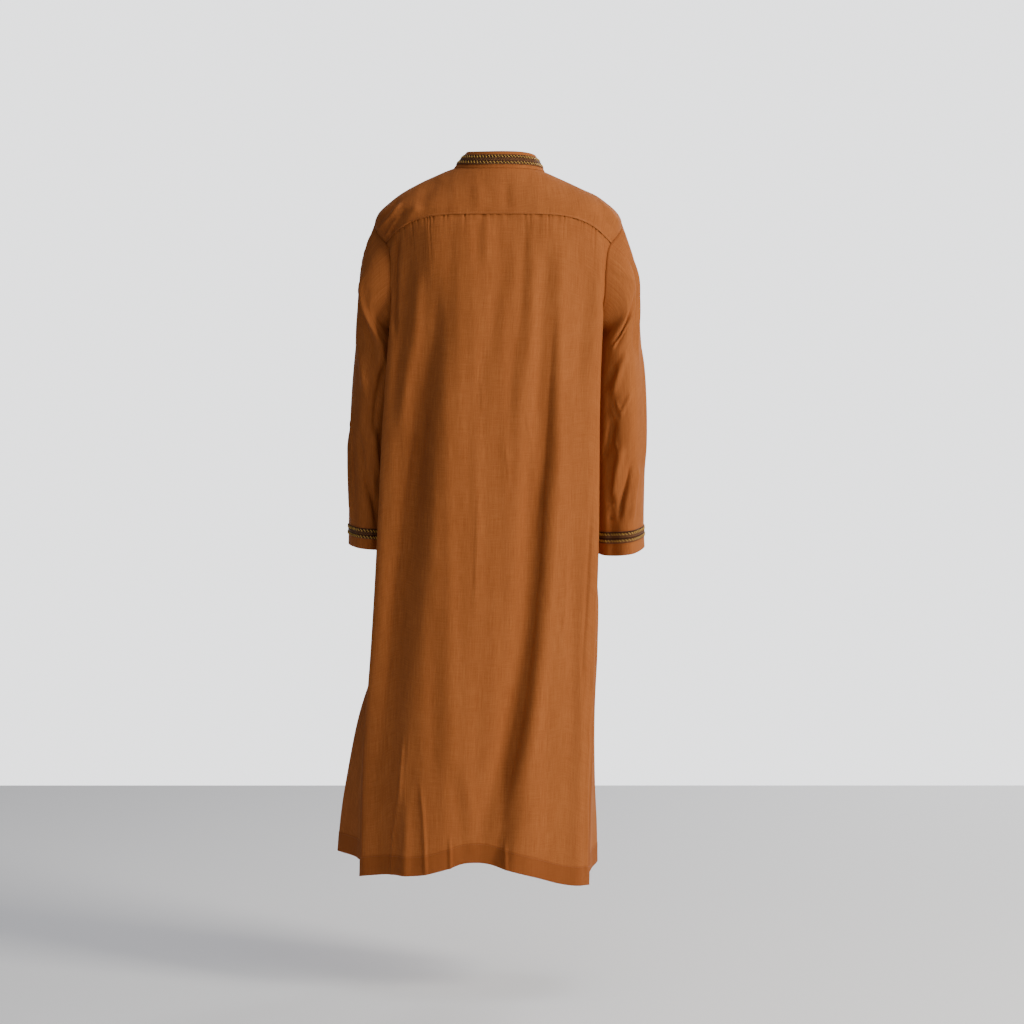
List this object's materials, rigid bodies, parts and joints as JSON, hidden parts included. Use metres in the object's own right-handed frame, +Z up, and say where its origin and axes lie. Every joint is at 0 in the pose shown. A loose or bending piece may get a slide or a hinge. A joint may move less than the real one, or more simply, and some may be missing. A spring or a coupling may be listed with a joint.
{
  "type": "open-front abaya",
  "caption": "Long open-front robe worn over clothes: stand collar, back yoke with gathers, set-in long sleeves, side slits, woven tape at collar and cuffs",
  "frame": {"origin": "in the middle of the neck hole at the height of the side neck points, where the wearer's neck and shoulders hold the robe", "axes": "+Z up, +X to the wearer's left, +Y to the wearer's back, so the open front faces -Y"},
  "size_m": [0.6094, 0.287, 1.4211],
  "materials": {
    "robe_cloth": "light viscose-like twill with a soft sheen, a little see-through",
    "woven_tape": "dark brown woven tape with rows of dull gold thread"
  },
  "bodies": {
    "root": {"back_yoke": "robe_cloth", "back_panel": "robe_cloth", "front_left": "robe_cloth", "front_right": "robe_cloth", "sleeve_left": "robe_cloth", "sleeve_right": "robe_cloth", "collar_band": "robe_cloth", "collar_tape": "woven_tape", "cuff_tape_left": "woven_tape", "cuff_tape_right": "woven_tape"}
  },
  "joints": []
}
